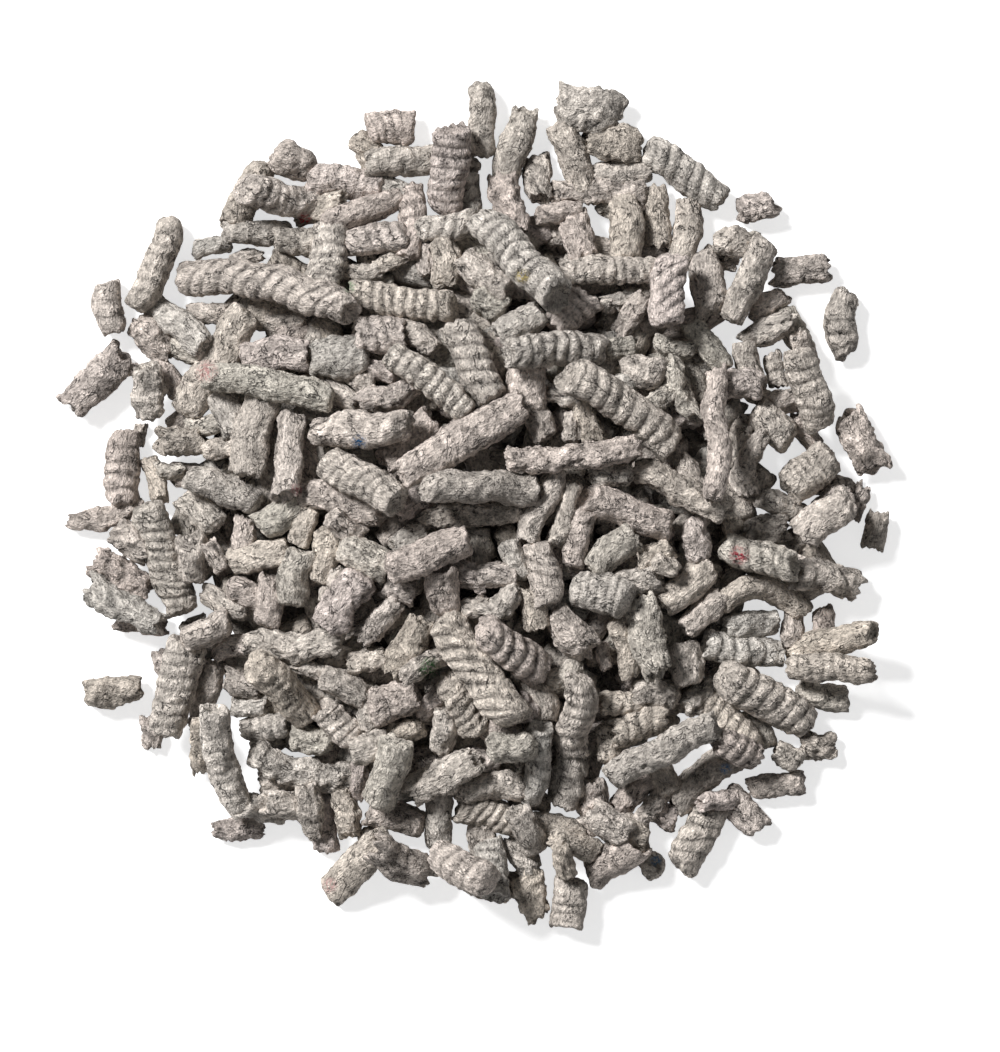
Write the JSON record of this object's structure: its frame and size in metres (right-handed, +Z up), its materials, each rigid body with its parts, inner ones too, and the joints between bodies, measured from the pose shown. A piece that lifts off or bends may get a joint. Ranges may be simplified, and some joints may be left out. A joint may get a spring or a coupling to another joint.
{
  "type": "heap of paper litter pellets",
  "caption": "Round loose heap of short grey recycled-paper litter pellets, ridged, smooth and torn, lying on a flat floor.",
  "frame": {"origin": "on the floor, under the middle of the heap, on the underside of its bed", "axes": "+Z up, +Y towards the top of the picture, +X to its right"},
  "size_m": [0.1484, 0.1518, 0.0283],
  "materials": {
    "ridged_pulp": "matt, pressed with ridges",
    "smooth_pulp": "matt, pressed smooth",
    "torn_pulp": "matt, torn and fibrous",
    "crumb_pulp": "matt, crumbled",
    "bed_pulp": "matt, pressed"
  },
  "bodies": {
    "root": {"crumb_01": "crumb_pulp", "crumb_02": "crumb_pulp", "crumb_03": "crumb_pulp", "heap_bed": "bed_pulp", "ridged_pellet_01": "ridged_pulp", "ridged_pellet_02": "ridged_pulp", "ridged_pellet_03": "ridged_pulp", "ridged_pellet_04": "ridged_pulp", "ridged_pellet_05": "ridged_pulp", "ridged_pellet_06": "ridged_pulp", "ridged_pellet_07": "ridged_pulp", "ridged_pellet_08": "ridged_pulp", "ridged_pellet_09": "ridged_pulp", "ridged_pellet_10": "ridged_pulp", "ridged_pellet_11": "ridged_pulp", "ridged_pellet_12": "ridged_pulp", "ridged_pellet_13": "ridged_pulp", "ridged_pellet_14": "ridged_pulp", "ridged_pellet_15": "ridged_pulp", "ridged_pellet_16": "ridged_pulp", "ridged_pellet_17": "ridged_pulp", "ridged_pellet_18": "ridged_pulp", "ridged_pellet_19": "ridged_pulp", "ridged_pellet_20": "ridged_pulp", "ridged_pellet_21": "ridged_pulp", "ridged_pellet_22": "ridged_pulp", "ridged_pellet_23": "ridged_pulp", "ridged_pellet_24": "ridged_pulp", "ridged_pellet_25": "ridged_pulp", "ridged_pellet_26": "ridged_pulp", "ridged_pellet_27": "ridged_pulp", "ridged_pellet_28": "ridged_pulp", "smooth_pellet_01": "smooth_pulp", "smooth_pellet_02": "smooth_pulp", "smooth_pellet_03": "smooth_pulp", "smooth_pellet_04": "smooth_pulp", "smooth_pellet_05": "smooth_pulp", "smooth_pellet_06": "smooth_pulp", "smooth_pellet_07": "smooth_pulp", "smooth_pellet_08": "smooth_pulp", "smooth_pellet_09": "smooth_pulp", "smooth_pellet_10": "smooth_pulp", "smooth_pellet_11": "smooth_pulp", "smooth_pellet_12": "smooth_pulp", "torn_pellet_01": "torn_pulp", "torn_pellet_02": "torn_pulp", "torn_pellet_03": "torn_pulp", "torn_pellet_04": "torn_pulp", "torn_pellet_05": "torn_pulp", "torn_pellet_06": "torn_pulp", "torn_pellet_07": "torn_pulp", "torn_pellet_08": "torn_pulp", "torn_pellet_09": "torn_pulp", "torn_pellet_10": "torn_pulp", "torn_pellet_11": "torn_pulp", "torn_pellet_12": "torn_pulp", "torn_pellet_13": "torn_pulp", "torn_pellet_14": "torn_pulp", "torn_pellet_15": "torn_pulp", "torn_pellet_16": "torn_pulp"}
  },
  "joints": []
}
